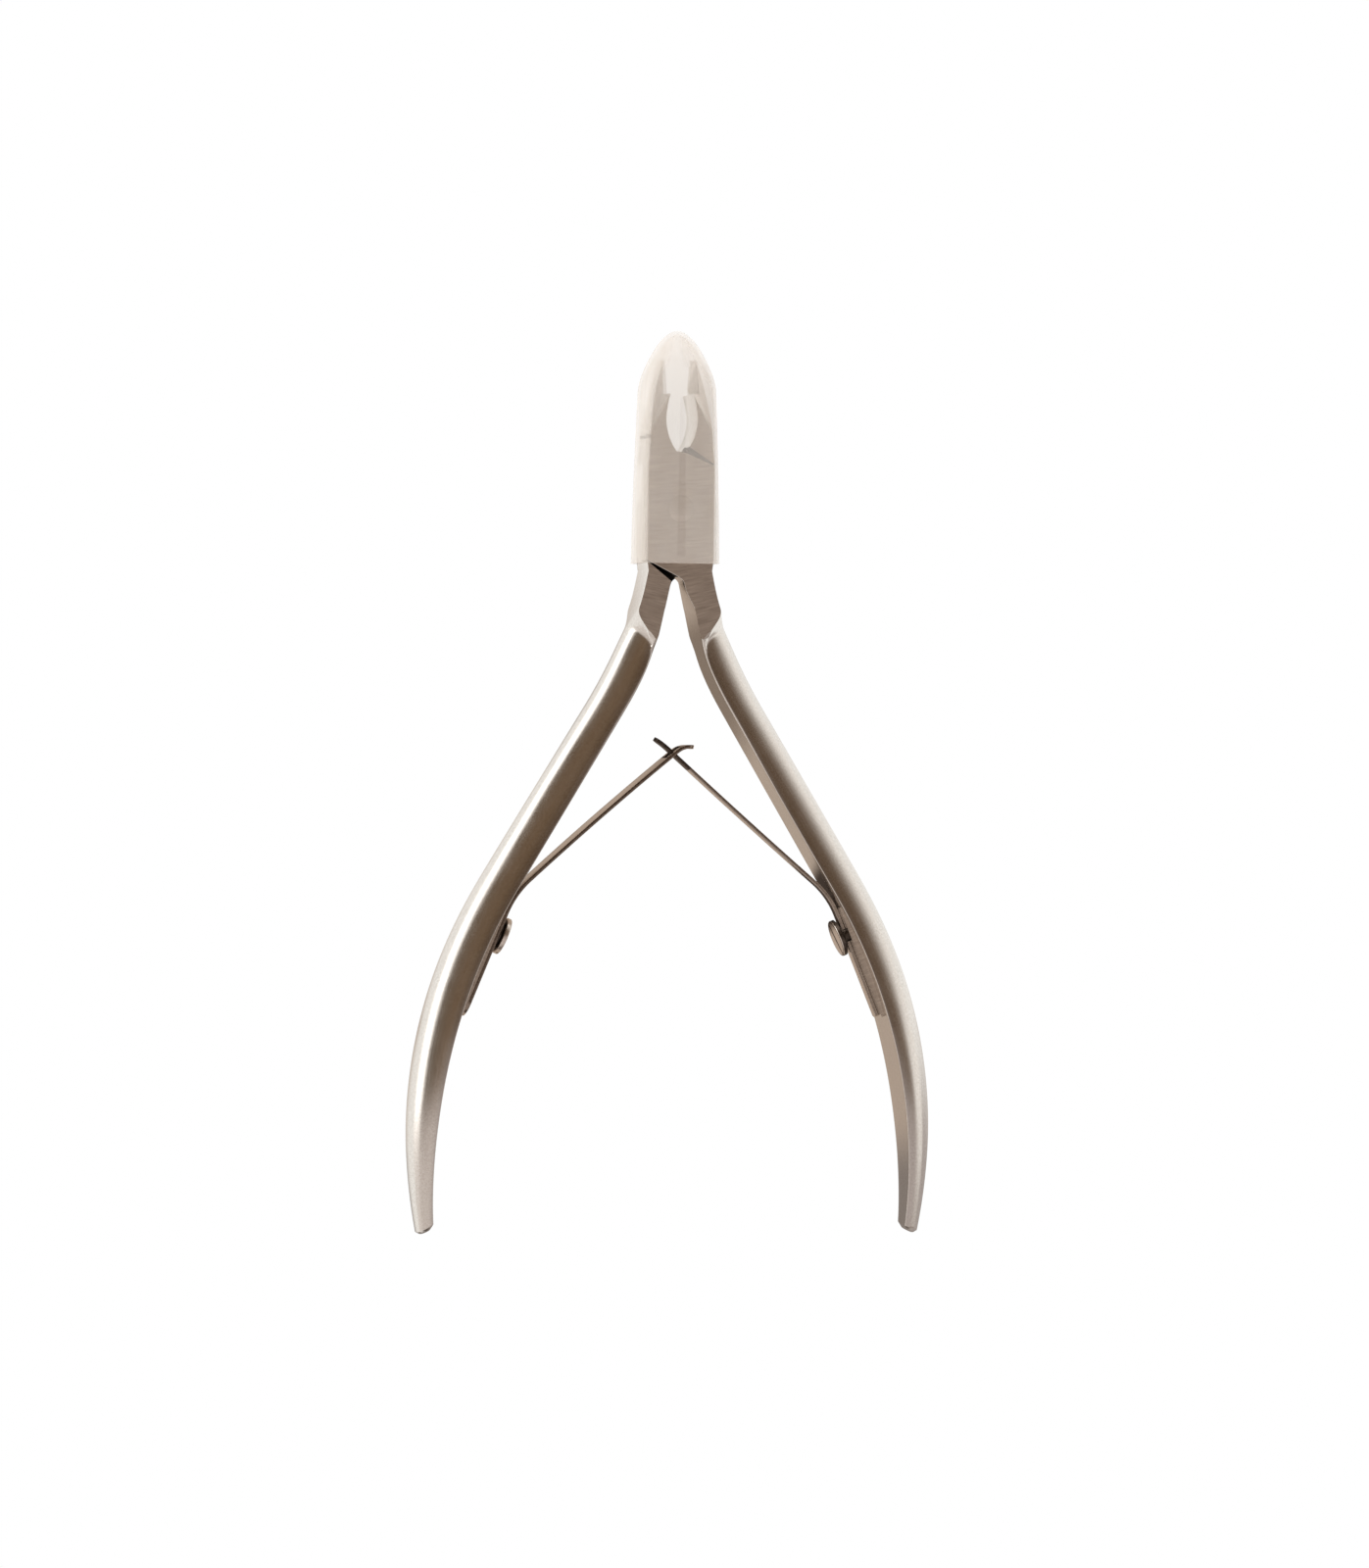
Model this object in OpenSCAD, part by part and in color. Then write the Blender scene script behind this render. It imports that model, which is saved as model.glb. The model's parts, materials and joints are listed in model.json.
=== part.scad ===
// Cuticle nipper: two lap-jointed levers on a flush rivet, a pair of interlocked leaf springs
// screwed inside the handles, and a soft tip guard. Drawn open, resting on its opening stop.
// The tool lies flat: jaws towards +Y, thickness along Z, resting surface at z = 0.

/* [Pivot and lap joint] */
// Total angle between the levers when they rest open
open_angle = 10; // [6:0.5:10]
// Thickness of the necks and of the lapped head
head_t = 6.0; // [5.8:0.1:6.1]
// Half the width of the lapped head
head_half_w = 4.15; // [4.05:0.01:4.2]
// Clearance between the two lap faces
lap_gap = 0.04; // [0.02:0.01:0.08]
// Radius of the rivet
rivet_r = 1.6; // [1.2:0.1:1.8]
// Radial clearance of the rivet in the lever that turns on it
rivet_play = 0.04; // [0.02:0.01:0.08]

/* [Jaws] */
// Distance from the pivot to the jaw tips
jaw_reach = 18.3; // [17.5:0.1:18.6]
// Distance from the pivot to the heel of the cutting edges
edge_heel = 14.6; // [13:0.1:15]
// Depth of the drop-shaped hollow in each jaw
hollow_depth = 0.85; // [0.5:0.05:1.0]
// Gap left beside each cutting edge when the jaws meet
edge_gap = 0.01; // [0.01:0.01:0.05]
// Thickness of the jaws at their tips
tip_t = 2.6; // [2:0.1:3.2]

/* [Handles] */
// Angle of the neck to the tool's axis, jaws closed
neck_heading = 5.4; // [4:0.1:7]
// Straight length of the neck
neck_len = 2.0; // [1.5:0.1:2.5]
// Angle of the straight shank, jaws closed
shank_heading = 26.2; // [24:0.1:27]
// Radius of the bend from neck to shank
shoulder_r = 43.5; // [42:0.5:46]
// Length of the straight shank
shank_len = 26.7; // [25:0.1:28]
// Radius of the curved grip
grip_r = 62.8; // [60:0.2:66]
// Angle of the handle's end, jaws closed; negative turns inwards
end_heading = -13.7; // [-16:0.1:-12]

/* [Leaf springs] */
// Width of the spring strip
strip_w = 3.6; // [3.2:0.1:4]
// Thickness of the spring strip
strip_t = 0.45; // [0.4:0.01:0.5]
// Length of each arm from its bend to the crossing
arm_len = 26.4; // [26:0.1:27]
// Length of the screwed foot
foot_len = 16.0; // [14:0.1:16.5]
// Distance of the screw from the bend
screw_at = 5.2; // [4.8:0.1:7]
// Width of the tongue that passes through the other spring
tongue_w = 1.5; // [1.2:0.1:1.6]
// Width of the slot that takes the tongue
slot_w = 1.9; // [1.8:0.1:2.2]
// Length of the slot
slot_len = 2.4; // [2.2:0.1:3]

/* [Spring screws] */
// Radius of the pan head
screw_head_r = 2.2; // [2:0.1:2.3]
// Height of the pan head
screw_head_h = 0.8; // [0.6:0.05:1]
// Radius of the threaded shank
screw_r = 1.0; // [0.8:0.1:1.1]
// Length of the shank below the spring
screw_len = 3.0; // [2.5:0.1:3.2]

/* [Tip guard] */
// Wall of the guard
cap_wall = 0.38; // [0.3:0.01:0.4]
// Half the outer width at the mouth
cap_mouth_half_w = 4.85; // [4.8:0.01:5]
// Half the outer width where the tip starts to close
cap_body_half_w = 4.62; // [4.6:0.01:4.8]
// Outer thickness
cap_t = 7.0; // [6.9:0.02:7.2]
// Radius of the guard's long outer corners
cap_corner_r = 0.95; // [0.85:0.05:1]
// Distance from the pivot to the rim of the mouth
cap_mouth_at = 6.5; // [6.3:0.1:6.8]
// Distance from the pivot to the end of the tip
cap_reach = 21.84; // [21.5:0.02:22.4]

/* [Hidden] */

eps = 0.01;
half_open = open_angle / 2;
half_t = head_t / 2;
steel = [0.66, 0.63, 0.60];
spring_steel = [0.52, 0.47, 0.43];
vinyl = [0.95, 0.92, 0.87, 0.6];

// The handle's centreline, in the lever's own frame: the pivot is the origin, the jaws are
// closed and outwards is +X. It runs down from the neck: line, arc, line, arc.
neck_start = [1.74, -7.0];
bend_1 = shoulder_r * (shank_heading - neck_heading) * PI / 180;
bend_2 = grip_r * (shank_heading - end_heading) * PI / 180;
s_bend_1 = neck_len;
s_shank = s_bend_1 + bend_1;
s_grip = s_shank + shank_len;
s_end = s_grip + bend_2;

// Direction of travel at angle h from -Y towards +X, and the outward direction beside it
function along(h) = [sin(h), -cos(h)];
function outward(h) = [cos(h), sin(h)];
function heading(s) =
    s < s_bend_1 ? neck_heading
    : s < s_shank ? neck_heading + (s - s_bend_1) / shoulder_r * 180 / PI
    : s < s_grip ? shank_heading
    : shank_heading - (s - s_grip) / grip_r * 180 / PI;
// A point on an arc that starts at p with heading h0 and has reached heading h1;
// r is negative where the arc turns back inwards
function on_arc(p, h0, h1, r) = p + r * (outward(h0) - outward(h1)) * -1;
p_bend_1 = neck_start + neck_len * along(neck_heading);
p_shank = on_arc(p_bend_1, neck_heading, shank_heading, -shoulder_r);
p_grip = p_shank + shank_len * along(shank_heading);
function centre(s) =
    s < s_bend_1 ? neck_start + s * along(neck_heading)
    : s < s_shank ? on_arc(p_bend_1, neck_heading, heading(s), -shoulder_r)
    : s < s_grip ? p_shank + (s - s_shank) * along(shank_heading)
    : on_arc(p_grip, shank_heading, heading(s), grip_r);

// Thickness in the plane of the tool and width across it, at distance s from the neck's start
function handle_t(s) = lookup(s, [[0, 3.1], [5.5, 3.1], [10.5, 3.9], [20, 4.15], [30, 4.25],
    [60, 4.25], [68, 3.9], [75, 3.4], [82, 2.65], [88.3, 1.9]]);
function handle_w(s) = lookup(s, [[0, 5.8], [10, 5.7], [18, 5.4], [32, 5.5], [46, 6.2],
    [58, 6.9], [66, 7.0], [72, 6.7], [79, 5.6], [88.3, 3.4]]);

// The handle's section is a D: flat towards the other handle, domed outwards.
// Each point is [outward, across] for thickness t, width w
edge_r = 0.5;
dome_steps = 16;
function d_section(t, w) = concat(
    [for (z = [-1, -0.5, 0, 0.5, 1]) [-t / 2, z * (w / 2 - edge_r)]],
    [for (a = [0:dome_steps]) let (q = 180 * a / dome_steps)
        [-t / 2 + edge_r + (t - edge_r) * pow(sin(q), 0.8), w / 2 * cos(q)]]);

// A ring of the handle in space
function ring(s) = let (c = centre(s), n = outward(heading(s)))
    [for (p = d_section(handle_t(s), handle_w(s))) [c.x + n.x * p.x, c.y + n.y * p.x, p.y]];

function turned(p, a) = [p.x * cos(a) - p.y * sin(a), p.x * sin(a) + p.y * cos(a)];

// Places of the spring on the lever, in the lever's frame and then in the open tool
bend_at = [15.76, -48.76];
foot_heading = 17.4;
open_bend = turned(bend_at, half_open);
arm_angle = asin(open_bend.x / arm_len);

// The origin is the middle of the open tool's footprint
handle_low = min([for (p = ring(s_end)) turned(p, half_open).y]);
pivot_y = -(cap_reach + handle_low) / 2;
mid_z = cap_t / 2;

// Everything below is drawn about the pivot, at mid-thickness, and placed by these
module in_tool() { translate([0, pivot_y, mid_z]) children(); }
module right_side() { rotate([0, 0, half_open]) children(); }
module left_side() { rotate([0, 0, -half_open]) rotate([0, 180, 0]) children(); }
module slab(t) { translate([0, 0, -t / 2]) linear_extrude(t) children(); }

// A tube of equal rings, closed at both ends by a fan of triangles about each ring's point k
module skin(rings, k) {
    n = len(rings[0]);
    m = len(rings);
    last = (m - 1) * n;
    polyhedron([for (r = rings) each r], concat(
        [for (i = [0:m - 2], j = [0:n - 1]) [i * n + j, i * n + (j + 1) % n, (i + 1) * n + j]],
        [for (i = [0:m - 2], j = [0:n - 1])
            [i * n + (j + 1) % n, (i + 1) * n + (j + 1) % n, (i + 1) * n + j]],
        [for (j = [1:n - 2]) [k, (k + j + 1) % n, (k + j) % n]],
        [for (j = [1:n - 2]) [last + k, last + (k + j) % n, last + (k + j + 1) % n]]));
}

sweep_start = 7.0;
sweep_rings = 30;
module handle_sweep() {
    skin([for (i = [0:sweep_rings]) ring(sweep_start + (s_end - sweep_start) * i / sweep_rings)],
         5 + dome_steps / 2);
}

// Outline of the neck, beside the centreline, down to its pointed end
neck_end = 9.0;
module neck_outline() {
    steps = [0:1:neck_end];
    polygon(concat(
        [for (s = steps) centre(s) + outward(heading(s)) * handle_t(s) / 2],
        [centre(neck_end + 1.6) - outward(heading(neck_end)) * 0.6],
        [for (i = [neck_end:-1:0]) centre(i) - outward(heading(i)) * handle_t(i) / 2]));
}

// Points of a shallow arc from p to q, bulging by sag to the left of the way from p to q
function bow(p, q, sag, n = 8) = [for (i = [0:n]) let (f = i / n, d = q - p)
    p + f * d + 4 * f * (1 - f) * sag * [-d.y, d.x] / norm(d)];

// Corners of the lap, in the lever's frame. The open tool's head has parallel sides.
plate_low = turned([-head_half_w, -6.35], -half_open);
plate_crotch = turned([-0.2, -8.4], -half_open);
plate_top = turned([0.2, 7.3], -half_open);
plate_high = turned([head_half_w, 5.3], -half_open);
neck_corner = turned([head_half_w, -6.45], -half_open);
neck_crotch = turned([1.3, -9.2], -half_open);
jaw_corner = turned([-head_half_w, 5.45], -half_open);
jaw_root = turned([-0.9, 7.6], -half_open);

// Outline of the lap plate and the jaw
module head_outline() {
    polygon(concat(
        [plate_low, plate_crotch, [0.55, -9.3], [2.0, -9.6], neck_corner, plate_high, plate_top],
        [[-0.1, 7.75]],
        bow([-0.1, 7.75], [-edge_gap, edge_heel], hollow_depth),
        [[-edge_gap, jaw_reach], [-0.6, jaw_reach]],
        bow([-0.75, 17.6], [-3.3, 7.6], -0.35),
        [jaw_corner]));
}

// Room for the other lever's plate: between the neck's shoulder and the jaw's
module lap_room() {
    low = neck_corner + (neck_corner - neck_crotch) * 0.6;
    inner = neck_crotch - (neck_corner - neck_crotch) * 0.8;
    far = jaw_corner + (jaw_corner - jaw_root) * 0.6;
    polygon([inner, low, [6, 9.5], [jaw_root.x, 9.5], jaw_root, far, [-6, -9]]);
}

// Bevel behind one side of the cutting edge
module edge_bevel() {
    land = 0.12;
    translate([0, jaw_reach + 1, 0]) rotate([90, 0, 0]) linear_extrude(jaw_reach + 1 - 7.8)
        polygon([[0.5, land], [-edge_gap, land], [-1.5, 3.5], [0.5, 3.5]]);
}

// What the jaws lose above and below as they thin towards their tips
module jaw_taper() {
    for (side = [0, 1]) mirror([0, 0, side])
        translate([-8, 0, 0]) rotate([90, 0, 90]) linear_extrude(16)
            polygon([[8, half_t], [jaw_reach + 0.5, tip_t / 2], [jaw_reach + 0.5, 6], [8, 6]]);
}

// Seat that gives the spring's foot a flat to lie on, and its screw a hole
module spring_frame() { translate([bend_at.x, bend_at.y, 0]) rotate([0, 0, foot_heading]) children(); }
module spring_seat() {
    spring_frame() translate([strip_t / 2, -(foot_len - 0.8), -strip_w / 2 - 0.2])
        cube([2.0, foot_len - 2.4, strip_w + 0.4]);
}
module screw_hole() {
    spring_frame() translate([0, -screw_at, 0]) rotate([0, 90, 0])
        translate([0, 0, strip_t / 2 - 1]) cylinder(r = screw_r, h = screw_len + 1, $fn = 48);
}
// The spring's own thickness is kept clear all along the foot
module foot_room() {
    spring_frame() translate([-3, -foot_len - 0.6, -strip_w / 2 - 0.2])
        cube([3 + strip_t / 2, foot_len + 1.2, strip_w + 0.4]);
}

// One lever, in its own frame: handle at +X, jaw at -X, plate on the +Z side
module lever(pin_r) {
    difference() {
        union() {
            slab(head_t) head_outline();
            slab(head_t) neck_outline();
            handle_sweep();
            spring_seat();
        }
        translate([0, 0, -half_t - 1]) linear_extrude(half_t + 1 + lap_gap / 2) lap_room();
        edge_bevel();
        mirror([0, 0, 1]) edge_bevel();
        jaw_taper();
        cylinder(r = pin_r, h = 10, center = true, $fn = 64);
        screw_hole();
        foot_room();
    }
}

// The moving plate is ground back where closing would swing it against the guard
module swing_relief() {
    room = cap_body_half_w - cap_wall - 0.06;
    rotate([0, 0, -open_angle]) for (side = [-1, 1])
        translate([side * (room + 3), 0, 0]) cube([6, 13, 20], center = true);
}

module right_lever() {
    color(steel) in_tool() right_side() lever(rivet_r);
}

module left_lever() {
    color(steel) in_tool() difference() {
        left_side() lever(rivet_r + rivet_play);
        swing_relief();
    }
}

module pivot_rivet() {
    color(steel) in_tool() cylinder(r = rivet_r, h = head_t, center = true, $fn = 64);
}

// Leaf spring foot: rounded lower end, clear of the arm's root at its upper end
module spring_foot() {
    root_gap = 0.4;
    spring_frame() difference() {
        translate([-strip_t / 2, -foot_len, -strip_w / 2]) {
            translate([0, strip_w / 2, 0]) cube([strip_t, foot_len - root_gap - strip_w / 2, strip_w]);
            translate([0, strip_w / 2, strip_w / 2]) rotate([0, 90, 0])
                cylinder(r = strip_w / 2, h = strip_t, $fn = 48);
        }
        translate([-1, -screw_at, 0]) rotate([0, 90, 0])
            cylinder(r = screw_r + 0.1, h = 2, $fn = 48);
    }
}

// Frame of the arm, open: origin at the bend, +Y along the arm towards the crossing
module arm_frame() {
    translate([open_bend.x, open_bend.y, 0]) rotate([0, 0, arm_angle]) children();
}
module arm_strip(length) {
    translate([-strip_t / 2, 0, -strip_w / 2]) cube([strip_t, length, strip_w]);
    cylinder(r = strip_t / 2, h = strip_w, center = true, $fn = 32);
}
// A strip end that leaves the arm's line along an arc: r > 0 turns it towards +X
module curled_end(length, r, w) {
    a = length / abs(r) * 180 / PI;
    translate([r, 0, -w / 2]) rotate([0, 0, r > 0 ? 180 - a : 0])
        rotate_extrude(angle = a, $fn = 96) translate([abs(r) - strip_t / 2, 0]) square([strip_t, w]);
}

module right_spring_foot() { color(spring_steel) in_tool() right_side() spring_foot(); }
module left_spring_foot() { color(spring_steel) in_tool() left_side() spring_foot(); }

// The right arm narrows to a tongue that goes through the left arm's slot
tongue_from = 23.4;
tongue_past = 0.6;
module right_spring_arm() {
    color(spring_steel) in_tool() arm_frame() {
        arm_strip(tongue_from);
        translate([-strip_t / 2, tongue_from - eps, -tongue_w / 2])
            cube([strip_t, arm_len + tongue_past - tongue_from + eps, tongue_w]);
        translate([0, arm_len + tongue_past, 0]) curled_end(2.4, -14, tongue_w);
    }
}

module left_spring_arm() {
    past = 0.9;
    color(spring_steel) in_tool() rotate([0, 180, 0]) arm_frame() difference() {
        union() {
            arm_strip(arm_len + past);
            translate([0, arm_len + past, 0]) curled_end(1.6, -2.2, strip_w);
        }
        translate([-2, arm_len - slot_len / 2, -slot_w / 2]) cube([4, slot_len, slot_w]);
    }
}

// Slotted pan-head screw on the spring's inner face
module spring_screw() {
    slot_t = 0.5;
    spring_frame() translate([-strip_t / 2, -screw_at, 0]) rotate([0, -90, 0]) difference() {
        union() {
            rotate_extrude($fn = 64) polygon(concat([[0, 0], [screw_head_r, 0]],
                [for (a = [0:15:90]) [screw_head_r - 0.35 * (1 - cos(a)) * 1.6,
                                      0.25 + (screw_head_h - 0.25) * sin(a)]],
                [[0, screw_head_h]]));
            translate([0, 0, -strip_t - screw_len]) cylinder(r = screw_r, h = strip_t + screw_len, $fn = 48);
        }
        translate([-slot_t / 2, -screw_head_r - 1, screw_head_h - 0.4])
            cube([slot_t, 2 * screw_head_r + 2, 1]);
    }
}
module right_spring_screw() { color(spring_steel) in_tool() right_side() spring_screw(); }
module left_spring_screw() { color(spring_steel) in_tool() left_side() spring_screw(); }

// The guard: a flattened bullet. inset draws the cavity.
function ogive(half, from, reach, n = 12) = [for (i = [0:n]) let (q = 90 * i / n)
    [half * cos(q), from + (reach - from) * sin(q)]];
module bullet(mouth, body, base, turn, tip) {
    side = concat([[mouth, base]], ogive(body, turn, tip));
    polygon(concat(side, [for (i = [len(side) - 1:-1:0]) [-side[i].x, side[i].y]]));
}
module cap_section(w, t, r) {
    square([2 * w - 2 * r, t], center = true);
    square([2 * w, t - 2 * r], center = true);
    for (x = [-1, 1], y = [-1, 1]) translate([x * (w - r), y * (t / 2 - r)]) circle(r = r, $fn = 48);
}
module cap_solid(inset, base) {
    w = cap_mouth_half_w - inset;
    intersection() {
        slab(cap_t - 2 * inset)
            bullet(w, cap_body_half_w - inset, base, 10.3, cap_reach - inset);
        rotate([90, 0, 90]) slab(20) rotate(-90)
            bullet(cap_t / 2 - inset, cap_t / 2 - inset, base, 13, cap_reach - inset);
        translate([0, base, 0]) rotate([-90, 0, 0]) linear_extrude(40)
            cap_section(w, cap_t - 2 * inset, cap_corner_r - inset);
    }
}
module jaw_cap() {
    color(vinyl) in_tool() difference() {
        cap_solid(0, -cap_mouth_at);
        cap_solid(cap_wall, -cap_mouth_at - 1);
    }
}

right_lever();
left_lever();
pivot_rivet();
right_spring_foot();
right_spring_arm();
right_spring_screw();
left_spring_foot();
left_spring_arm();
left_spring_screw();
jaw_cap();
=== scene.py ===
"""Cuticle nipper: the looks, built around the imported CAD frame.

Shapes are drawn in millimetres about the pivot at mid-thickness, with the jaws towards +Y,
and in_row_frame() takes them to metres in the row frame. The camera looks down on the tool
from its left, in plain soft studio light over a white floor.
"""

import json
import math

import bmesh
import bpy
import numpy as np
from mathutils import Matrix, Vector


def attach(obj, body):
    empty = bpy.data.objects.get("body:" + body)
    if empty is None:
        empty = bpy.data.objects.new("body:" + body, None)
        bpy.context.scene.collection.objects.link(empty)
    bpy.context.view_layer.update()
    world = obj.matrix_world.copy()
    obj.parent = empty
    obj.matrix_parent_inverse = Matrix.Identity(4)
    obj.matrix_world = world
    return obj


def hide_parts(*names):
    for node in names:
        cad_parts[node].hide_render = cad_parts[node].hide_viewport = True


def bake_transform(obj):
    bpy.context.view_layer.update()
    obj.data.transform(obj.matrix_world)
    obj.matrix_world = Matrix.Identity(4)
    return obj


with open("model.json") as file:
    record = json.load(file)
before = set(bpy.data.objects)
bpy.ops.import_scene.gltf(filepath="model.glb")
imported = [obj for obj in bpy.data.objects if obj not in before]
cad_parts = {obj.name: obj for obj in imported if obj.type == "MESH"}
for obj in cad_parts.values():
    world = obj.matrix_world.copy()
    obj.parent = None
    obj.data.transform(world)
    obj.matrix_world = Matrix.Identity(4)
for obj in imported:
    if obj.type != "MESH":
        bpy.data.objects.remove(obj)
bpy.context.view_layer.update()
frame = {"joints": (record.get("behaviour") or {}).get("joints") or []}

# ---------------------------------------------------------------- dimensions, in millimetres

MM = 0.001
JOINTS = {joint["name"]: joint for joint in frame["joints"]}
PIVOT = Vector(JOINTS["lever_pivot"]["pos_m"])
HALF_OPEN = JOINTS["lever_pivot"]["range_deg"][1] / 2
FLIP = Matrix.Rotation(math.pi, 4, "Y")

HALF_T = 3.0
HEAD_HALF_W = 4.15
LAP_GAP = 0.04
RELIEF_AT = 4.18
RIVET_R = 1.6
RIVET_PLAY = 0.04

JAW_REACH = 18.3
EDGE_HEEL = 14.6
EDGE_GAP = 0.01
HOLLOW_DEPTH = 1.0

NECK_START = (1.74, -7.0)
NECK_HEADING, NECK_LEN = 5.4, 2.0
SHANK_HEADING, SHOULDER_R, SHANK_LEN = 26.2, 43.5, 26.7
GRIP_R, END_HEADING = 62.8, -13.7

STRIP_W, STRIP_T = 3.6, 0.45
ARM_LEN, FOOT_LEN, BEND_LEN = 26.4, 16.0, 5.0
FOOT_HEADING, SCREW_AT = 17.4, 5.2
TONGUE_W, TONGUE_FROM = 1.5, 23.4
SLOT_W, SLOT_LEN = 1.9, 2.4
SCREW_R = 1.0
FOOT_HOLE_R = SCREW_R + 0.1
BEND_AT = (15.76, -48.76)

CAP_MOUTH, CAP_SHOULDER, CAP_REACH = -6.5, 14.0, 21.84
CAP_HALF_T, CAP_WALL, CAP_CORNER = 3.5, 0.33, 0.6
CAP_MOUTH_HALF_W, CAP_SHOULDER_HALF_W = 4.85, 4.27

FAR = 10  # past any face of the tool in thickness


# ---------------------------------------------------------------- mesh helpers

def in_row_frame(obj):
    """From millimetres about the pivot to metres in the row frame."""
    obj.data.transform(Matrix.Translation(PIVOT) @ Matrix.Scale(MM, 4))
    return obj


def mesh_object(name, points, faces):
    mesh = bpy.data.meshes.new(name)
    mesh.from_pydata([tuple(p) for p in points], [], [tuple(f) for f in faces])
    mesh.update()
    obj = bpy.data.objects.new(name, mesh)
    bpy.context.scene.collection.objects.link(obj)
    face_outwards(obj)
    return obj


def face_outwards(obj):
    edit = bmesh.new()
    edit.from_mesh(obj.data)
    bmesh.ops.recalc_face_normals(edit, faces=edit.faces)
    edit.to_mesh(obj.data)
    edit.free()


def tube(name, rings):
    """A closed surface through equal rings of points, with flat ends."""
    count = len(rings[0])
    points = [p for ring in rings for p in ring]
    faces = []
    for i in range(len(rings) - 1):
        for j in range(count):
            a, b = i * count + j, i * count + (j + 1) % count
            faces.append((a, b, b + count, a + count))
    faces.append(range(count))
    faces.append(range(len(points) - count, len(points)))
    return mesh_object(name, points, faces)


def prism(name, outline, low, high, bevel=0.0):
    """An outline in the plane of the tool, from z = low to z = high, with bevelled rims."""
    obj = tube(name, [[(x, y, low) for x, y in outline], [(x, y, high) for x, y in outline]])
    if bevel:
        edit = bmesh.new()
        edit.from_mesh(obj.data)
        rims = [e for e in edit.edges if abs(e.verts[0].co.z - e.verts[1].co.z) < 1e-6]
        bmesh.ops.bevel(edit, geom=rims, offset=bevel, segments=2, profile=0.6, affect="EDGES")
        edit.to_mesh(obj.data)
        edit.free()
    return obj


def block(name, low, high, turn=None):
    corners = [(x, y, z) for z in (low[2], high[2]) for x, y in
               ((low[0], low[1]), (high[0], low[1]), (high[0], high[1]), (low[0], high[1]))]
    obj = tube(name, [corners[:4], corners[4:]])
    if turn is not None:
        obj.data.transform(turn)
    return obj


def lathe(name, profile, steps=72):
    """A (radius, height) profile turned about Z. It starts and ends on the axis."""
    points = [(0, 0, profile[0][1])]
    for radius, height in profile[1:-1]:
        for k in range(steps):
            a = 2 * math.pi * k / steps
            points.append((radius * math.cos(a), radius * math.sin(a), height))
    points.append((0, 0, profile[-1][1]))
    top = len(points) - 1
    last = top - steps
    faces = [(0, 1 + (k + 1) % steps, 1 + k) for k in range(steps)]
    for i in range(len(profile) - 3):
        for k in range(steps):
            a, b = 1 + i * steps + k, 1 + i * steps + (k + 1) % steps
            faces.append((a, b, b + steps, a + steps))
    faces += [(last + k, last + (k + 1) % steps, top) for k in range(steps)]
    return mesh_object(name, points, faces)


def combine(obj, tool, operation):
    """Boolean of obj with tool, which is used up."""
    modifier = obj.modifiers.new("combine", "BOOLEAN")
    modifier.operation = operation
    modifier.solver = "EXACT"
    modifier.object = tool
    evaluated = obj.evaluated_get(bpy.context.evaluated_depsgraph_get())
    mesh = bpy.data.meshes.new_from_object(evaluated)
    obj.modifiers.clear()
    old, obj.data = obj.data, mesh
    bpy.data.meshes.remove(old)
    bpy.data.objects.remove(tool)
    return obj


def cut(obj, tool):
    return combine(obj, tool, "DIFFERENCE")


def join(obj, tool):
    return combine(obj, tool, "UNION")


def smooth_by_angle(obj, degrees):
    """Smooth shading that stays sharp over edges steeper than this."""
    edit = bmesh.new()
    edit.from_mesh(obj.data)
    bmesh.ops.remove_doubles(edit, verts=edit.verts, dist=1e-5)
    bmesh.ops.dissolve_degenerate(edit, edges=edit.edges, dist=1e-5)
    limit = math.radians(degrees)
    for edge in edit.edges:
        edge.smooth = len(edge.link_faces) == 2 and edge.calc_face_angle(0) < limit
    for face in edit.faces:
        face.smooth = True
    edit.to_mesh(obj.data)
    edit.free()


def turned(point, degrees):
    a = math.radians(degrees)
    x, y = point
    return (x * math.cos(a) - y * math.sin(a), x * math.sin(a) + y * math.cos(a))


def bow(p, q, sag):
    """Points of a shallow arc from p to q, bulging to the left of the way by sag."""
    p, q = np.array(p), np.array(q)
    way = q - p
    side = np.array((-way[1], way[0])) / np.linalg.norm(way)
    return [tuple(p + f * way + 4 * f * (1 - f) * sag * side) for f in np.linspace(0, 1, 25)]


def smooth_lookup(x, table):
    """A smooth curve through (x, value) points."""
    xs = np.array([row[0] for row in table], float)
    ys = np.array([row[1] for row in table], float)
    slopes = np.gradient(ys, xs)
    i = int(np.clip(np.searchsorted(xs, x) - 1, 0, len(xs) - 2))
    h = xs[i + 1] - xs[i]
    t = min(max((x - xs[i]) / h, 0), 1)
    return ((2 * t**3 - 3 * t**2 + 1) * ys[i] + (t**3 - 2 * t**2 + t) * h * slopes[i]
            + (3 * t**2 - 2 * t**3) * ys[i + 1] + (t**3 - t**2) * h * slopes[i + 1])


def smooth_step(x, start, end):
    t = min(max((x - start) / (end - start), 0), 1)
    return t * t * (3 - 2 * t)


def rounded_box(half_x, half_z, radius, count):
    """(x, z) points of a rectangle with rounded corners, with this many points to a corner."""
    points = []
    for x_side, z_side, first in ((1, 1, 0), (-1, 1, 90), (-1, -1, 180), (1, -1, 270)):
        for a in np.linspace(first, first + 90, count):
            points.append((x_side * (half_x - radius) + radius * math.cos(math.radians(a)),
                           z_side * (half_z - radius) + radius * math.sin(math.radians(a))))
    return points


# ---------------------------------------------------------------- the levers

BEND_1 = SHOULDER_R * math.radians(SHANK_HEADING - NECK_HEADING)
BEND_2 = GRIP_R * math.radians(SHANK_HEADING - END_HEADING)
S_END = NECK_LEN + BEND_1 + SHANK_LEN + BEND_2

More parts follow.
